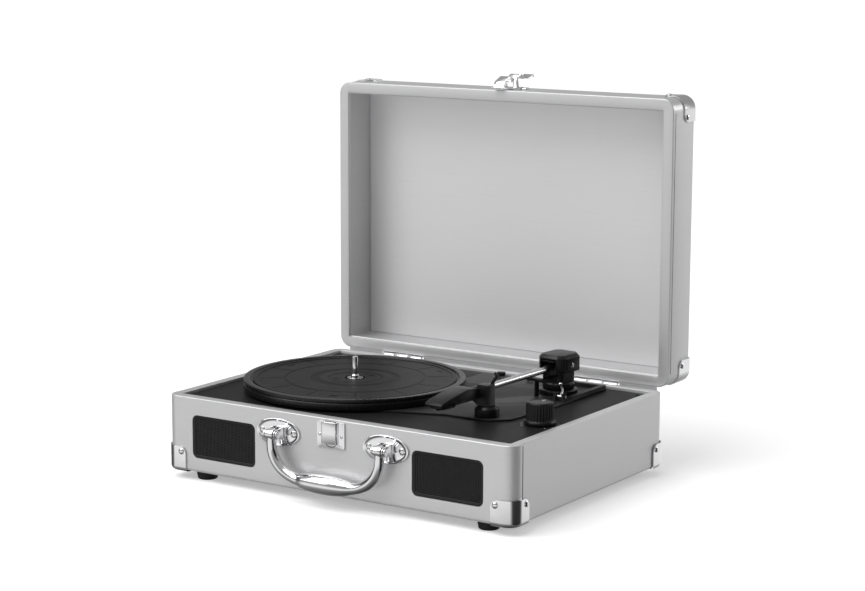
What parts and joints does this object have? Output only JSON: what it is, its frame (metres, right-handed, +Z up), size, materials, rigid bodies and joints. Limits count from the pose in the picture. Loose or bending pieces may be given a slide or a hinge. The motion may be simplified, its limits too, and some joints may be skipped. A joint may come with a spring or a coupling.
{
  "type": "suitcase record player",
  "caption": "Portable belt-drive record player in a silver vinyl-covered suitcase: hinged lid, platter, tone arm, front speakers, carrying handle and draw latch.",
  "frame": {"origin": "on the floor under the middle of the whole object with its lid open; the case's own middle is 20.4 mm in front of it", "axes": "+X to the right along the front of the case, +Y to the back, +Z up"},
  "size_m": [0.3578, 0.3326, 0.3432],
  "materials": {
    "silver_vinyl": "silver-grey vinyl leathercloth over wood, satin with a faint horizontal slub",
    "grey_lining": "grey covered lining board",
    "base_board": "black painted board",
    "black_rubber": "black rubber",
    "chrome": "bright nickel and chrome plate",
    "black_grille": "black perforated steel",
    "speaker_cone": "black paper cone in a steel basket",
    "black_deck": "satin black deck",
    "dark_plate": "dark moulded plate",
    "brushed_metal": "bright drawn steel",
    "brass": "turned brass",
    "black_plastic": "black moulded plastic, semi gloss",
    "platter_mat": "dark grey moulded mat",
    "circuit_board": "green circuit board"
  },
  "bodies": {
    "case": {"base_shell": "silver_vinyl", "base_bottom": "base_board", "foot_front_left": "black_rubber", "foot_front_right": "black_rubber", "foot_back_left": "black_rubber", "foot_back_right": "black_rubber", "base_guard_front_left": "chrome", "base_guard_front_right": "chrome", "base_guard_back_left": "chrome", "base_guard_back_right": "chrome", "speaker_grille_left": "black_grille", "speaker_grille_right": "black_grille", "speaker_left": "speaker_cone", "speaker_right": "speaker_cone", "handle_plate_left": "chrome", "handle_plate_right": "chrome", "latch_keeper": "chrome", "hinge_base_left": "chrome", "hinge_base_right": "chrome", "deck_plate": "black_deck", "mechanism_plate": "dark_plate", "motor": "brushed_metal", "drive_belt": "black_rubber", "spindle": "chrome", "arm_collar": "black_plastic", "arm_rest": "black_plastic", "potentiometer": "brushed_metal", "circuit_board": "circuit_board", "socket_panel": "black_plastic", "line_out_left": "brass", "line_out_right": "brass", "headphone_socket": "brushed_metal", "power_socket": "black_plastic"},
    "lid": {"lid_shell": "silver_vinyl", "lid_lining": "grey_lining", "lid_guard_front_left": "chrome", "lid_guard_front_right": "chrome", "lid_guard_back_left": "chrome", "lid_guard_back_right": "chrome", "hinge_lid_left": "chrome", "hinge_lid_right": "chrome", "latch_bracket": "chrome"},
    "latch": {"latch_lever": "chrome"},
    "handle": {"carry_handle": "chrome"},
    "platter": {"platter": "black_plastic", "platter_mat": "platter_mat", "platter_bush": "brass"},
    "pulley": {"motor_pulley": "brass"},
    "knob": {"volume_knob": "black_plastic"},
    "speed_switch": {"speed_switch": "black_plastic"},
    "autostop_switch": {"autostop_switch": "black_plastic"},
    "arm_turret": {"arm_yoke": "black_plastic"},
    "tonearm": {"arm_tube": "brushed_metal", "counterweight": "black_plastic", "headshell": "black_plastic", "cartridge": "black_plastic", "stylus": "brushed_metal"},
    "arm_clip": {"arm_clip": "black_plastic"},
    "cue_lever": {"cue_lever": "brushed_metal"},
    "cue_platform": {"cue_platform": "black_plastic"}
  },
  "joints": [
    {"name": "lid_hinge", "type": "hinge", "parent": "case", "child": "lid", "pos_m": [0, 0.1099, 0.0724], "axis": [-1, 0, 0], "range_deg": [-90, 0]},
    {"name": "latch_rocker", "type": "hinge", "parent": "lid", "child": "latch", "pos_m": [0, 0.1314, 0.3387], "axis": [-1, 0, 0], "range_deg": [0, 18], "stiffness_Nm_per_rad": 0.1, "springref_deg": -8.59},
    {"name": "handle_swing", "type": "hinge", "parent": "case", "child": "handle", "pos_m": [0, -0.1579, 0.056], "axis": [-1, 0, 0], "range_deg": [0, 110]},
    {"name": "platter_spin", "type": "hinge", "parent": "case", "child": "platter", "pos_m": [-0.06, -0.0294, 0.083], "axis": [0, 0, 1], "continuous": true},
    {"name": "pulley_spin", "type": "hinge", "parent": "case", "child": "pulley", "pos_m": [-0.1095, 0.0201, 0.075], "axis": [0, 0, 1], "continuous": true},
    {"name": "volume_turn", "type": "hinge", "parent": "case", "child": "knob", "pos_m": [0.147, -0.0574, 0.08], "axis": [0, 0, -1], "range_deg": [0, 270]},
    {"name": "speed_slide", "type": "slide", "parent": "case", "child": "speed_switch", "axis": [1, 0, 0], "range_m": [-0.004, 0.004]},
    {"name": "autostop_slide", "type": "slide", "parent": "case", "child": "autostop_switch", "axis": [1, 0, 0], "range_m": [0, 0.005]},
    {"name": "arm_swing", "type": "hinge", "parent": "case", "child": "arm_turret", "pos_m": [0.1, 0.0536, 0.08], "axis": [0, 0, 1], "range_deg": [-38, 0]},
    {"name": "arm_lift", "type": "hinge", "parent": "arm_turret", "child": "tonearm", "pos_m": [0.1, 0.0536, 0.097], "axis": [-0.9936, 0.1132, 0], "range_deg": [0, 14]},
    {"name": "clip_swing", "type": "hinge", "parent": "case", "child": "arm_clip", "pos_m": [0.09675, -0.05443, 0.097], "axis": [0.1132, 0.9936, 0], "range_deg": [-115, 0]},
    {"name": "cue_lever_turn", "type": "hinge", "parent": "case", "child": "cue_lever", "pos_m": [0.119, 0.0236, 0.077], "axis": [1, 0, 0], "range_deg": [0, 50]},
    {"name": "cue_platform_rise", "type": "slide", "parent": "case", "child": "cue_platform", "axis": [0, 0, 1], "range_m": [0, 0.0042]}
  ],
  "couplings": [
    {"joint": "pulley_spin", "follows": "platter_spin", "ratio": 6.8647},
    {"joint": "cue_lever_turn", "follows": "cue_platform_rise", "rad_per_m": 207.78}
  ]
}
